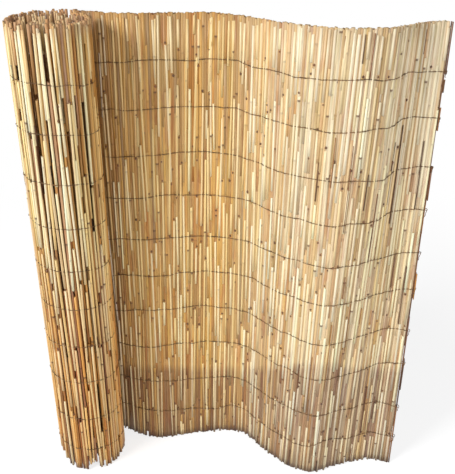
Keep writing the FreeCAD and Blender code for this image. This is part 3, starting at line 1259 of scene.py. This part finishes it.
@dataclass
class Studio:
    """Pale floor, soft lamps and the camera, with its focal length and frame in the photograph's pixels."""

    focal_px: float = 620.9
    frame: Span = (455.0, 474.0)
    middle: Span = (223.8, 177.3)
    sensor: float = 36.0
    pitch: float = 24.62
    roll: float = 0.86
    eye: Triple = (-0.00921, -1.07522, 1.194)
    aim: Triple = (0.0, 0.0, 0.5)
    floor_side: float = 30.0
    clear_floor: Span = (0.75, 1.7)
    floor_colour: Colour = (0.62, 0.61, 0.59)
    seen_colour: Colour = (0.40, 0.40, 0.40)
    seen_glow: float = 0.74
    sky: Colour = (0.97, 0.98, 1.0)
    sky_power: float = 0.30

    def camera(self) -> None:
        """Places the camera at the photograph's angle."""
        wide, high = self.frame
        data = bpy.data.cameras.new("camera")
        data.sensor_width = self.sensor
        data.lens = self.focal_px / high * self.sensor
        data.shift_x = (wide / 2 - self.middle[0]) / high
        data.shift_y = (self.middle[1] - high / 2) / high
        made = put("camera", data)
        tilt = Matrix.Rotation(math.radians(90.0 - self.pitch), 4, "X")
        twist = Matrix.Rotation(math.radians(self.roll), 4, "Z")
        made.matrix_world = Matrix.Translation(self.eye) @ tilt @ twist
        bpy.context.scene.camera = made

    def lamp(self, name: str, place: Triple, side: float, power: float) -> None:
        """Places a square soft lamp that faces the middle of the panel.

        Args:
            name: Its name.
            place: Where it stands.
            side: Length of its side.
            power: Its power in watts.
        """
        data = bpy.data.lights.new(name, "AREA")
        data.size = side
        data.energy = power
        made = put(name, data)
        made.location = place
        made.rotation_euler = (Vector(self.aim) - Vector(place)).to_track_quat("-Z", "Y").to_euler()

    def floor(self) -> None:
        """Lays the floor, white to the eye where nothing shades it."""
        far = self.floor_side
        made = put_mesh("floor", [(-far, -far, 0), (far, -far, 0), (far, far, 0), (-far, far, 0)], [(0, 1, 2, 3)])
        finish = bpy.data.materials.new("pale_floor")
        pen = blank(finish)
        rays = pen.node("ShaderNodeLightPath").outputs
        mirrored = pen.math("MAXIMUM", rays["Is Glossy Ray"], rays["Is Transmission Ray"])
        seen = pen.math("MAXIMUM", rays["Is Camera Ray"], mirrored)
        plain = pen.out("ShaderNodeBsdfDiffuse", {"Color": (*self.floor_colour, 1.0)})
        half = pen.out("ShaderNodeBsdfDiffuse", {"Color": (*self.seen_colour, 1.0)})
        glow = pen.out("ShaderNodeEmission", {"Color": WHITE, "Strength": self.seen_glow})
        near = pen.out("ShaderNodeAddShader", {0: half, 1: glow})
        white = pen.out("ShaderNodeEmission", {"Color": WHITE, "Strength": 1.0})
        place = pen.node("ShaderNodeTexCoord").outputs["Object"]
        away = pen.node("ShaderNodeVectorMath", {0: place}, operation="LENGTH").outputs["Value"]
        clear = pen.spread(away, *self.clear_floor, 0.0, 1.0)
        both = pen.out("ShaderNodeMixShader", {0: clear, 1: near, 2: white})
        mixed = pen.out("ShaderNodeMixShader", {0: seen, 1: plain, 2: both})
        pen.node("ShaderNodeOutputMaterial", {0: mixed})
        made.data.materials.append(finish)

    def world(self) -> None:
        """Sets a plain surrounding light, white to the eye."""
        made = bpy.data.worlds.new("surround")
        pen = blank(made)
        seen = pen.node("ShaderNodeLightPath").outputs["Is Camera Ray"]
        light = pen.out("ShaderNodeBackground", {"Color": (*self.sky, 1.0), "Strength": self.sky_power})
        white = pen.out("ShaderNodeBackground", {"Color": WHITE, "Strength": 1.0})
        pen.node("ShaderNodeOutputWorld", {0: pen.out("ShaderNodeMixShader", {0: seen, 1: light, 2: white})})
        bpy.context.scene.world = made

    def build(self) -> None:
        """Builds the whole studio."""
        self.camera()
        self.floor()
        self.world()
        self.lamp("key", (-3.0, -2.0, 2.5), side=1.4, power=144.0)
        self.lamp("fill", (2.4, -2.8, 1.6), side=2.0, power=56.0)
        bpy.context.scene.view_settings.view_transform = "Standard"
        log.info("studio: floor, world, 2 lamps and camera")


ROW_HEIGHTS = (0.078, 0.167, 0.269, 0.362, 0.455, 0.543, 0.636, 0.726, 0.821, 0.911)

# How far each row strays from its height on the open stretch, in millimetres at places 30 mm apart,
# from the lowest row up, and how far the rows drop round the roll.
WANDER_PLACES = tuple(0.03 * step for step in range(25))
WANDER = (
    (7, 7, 8, 8, 8, 6, 5, 4, 0, -4, 9, 4, 1, 2, 1, 5, 1, 3, 18, 14, 3, 5, 7, 1, 3),
    (3, 3, 3, 5, 7, 5, 4, 3, 4, 4, 7, 3, 4, 6, 6, 8, 6, 3, 7, 8, 3, 6, 7, 1, -5),
    (-5, -5, -5, 0, 0, 4, 6, 3, 6, 4, 4, 4, 6, 8, 6, 10, 2, 1, 4, 3, 3, 6, 9, 11, 12),
    (-12, -12, -5, 4, 6, 7, 7, 8, 10, 5, 5, 5, 6, 6, 4, 6, 1, -1, 1, 2, 4, 4, 6, 4, 0),
    (-15, -15, -4, 1, -1, -2, 2, 2, 4, 2, 3, 5, 6, 6, 5, 9, 4, 3, 4, 5, 4, 8, 5, 9, 11),
    (-13, -13, -4, -1, -1, 1, 1, 1, 1, 0, 1, 4, 3, 5, 3, 7, 3, 2, 5, 3, 7, 3, 4, 6, 4),
    (-7, -7, -4, -1, 2, 5, 4, 3, 3, 3, 3, 5, 3, 1, 1, 4, 2, -1, 5, 0, 0, 11, 7, 8, 5),
    (-7, -7, -5, 0, 1, 3, 5, 6, 6, 5, 5, 3, 4, 0, 0, 1, 1, 0, 2, -3, -7, 7, 4, 6, 2),
    (-6, -6, -1, -2, 0, 2, 3, 2, 3, 5, 6, 0, 2, 1, -1, 1, -2, -2, 1, 3, 0, 11, 10, 6, 2),
    (-6, -6, -2, -1, 4, 4, 2, 0, 4, 5, 7, 0, 1, 2, -2, -1, 1, 2, 4, -1, 0, 6, 1, 0, 0),
)
ROLL_PLACES = (-0.45, -0.36, -0.33, -0.30, -0.25, -0.21, -0.18, -0.145, 0.0)
ROLL_DROP = (ROLL_PLACES, (-12, -24, -22, -15, -10, -9, -7, -11, 0))


def main() -> None:
    """Builds every piece in order."""
    Studio().build()
    plan = MatPlan()
    groups = {"grain": grain_group(), "patch": patch_group(), "height": height_group()}
    glossy = {"roughness": 0.36, "streaks": 0.14, "stain_share": 0.25, "green_share": 0.05, "cover": 0.4}
    # On the roll the low band is warmer and reaches higher: darker towards the bottom.
    low_roll = {"ground": linear(243, 207, 158), "low_band_border": (0.42, 0.4, 0.0)}
    dull = ReedFinish("reed_dull").material(groups)
    rolled = ReedFinish("reed_rolled", streaks=0.3, green_share=0.2, tip_share=0.5, **low_roll).material(groups)
    peeled = ReedFinish("reed_peeled", low_band_share=0.45, **glossy).material(groups)
    wound = ReedFinish("reed_wound", tip_share=0.4, **glossy, **low_roll).material(groups)
    stretch = OpenStretch(plan)
    roll = Roll(plan)
    core = stretch.core()
    front = stretch.face(Layer.FRONT, 17)
    back = stretch.face(Layer.BACK, 19)
    outer_core = roll.outer_core()
    outer = roll.outer_face()
    inner = roll.inner()
    dressed = ((core, dull), (front, peeled), (back, peeled), (outer_core, rolled), (outer, wound), (inner, rolled))
    for sheaf, skin in dressed:
        sheaf.build().data.materials.append(skin)
    wire = WireFinish().material()
    for number, height in enumerate(ROW_HEIGHTS, start=1):
        WireRow(number, height, plan).build(front.reeds, back.reeds + outer.reeds, wire)
    bpy.context.view_layer.update()


if __name__ == "__main__":
    main()
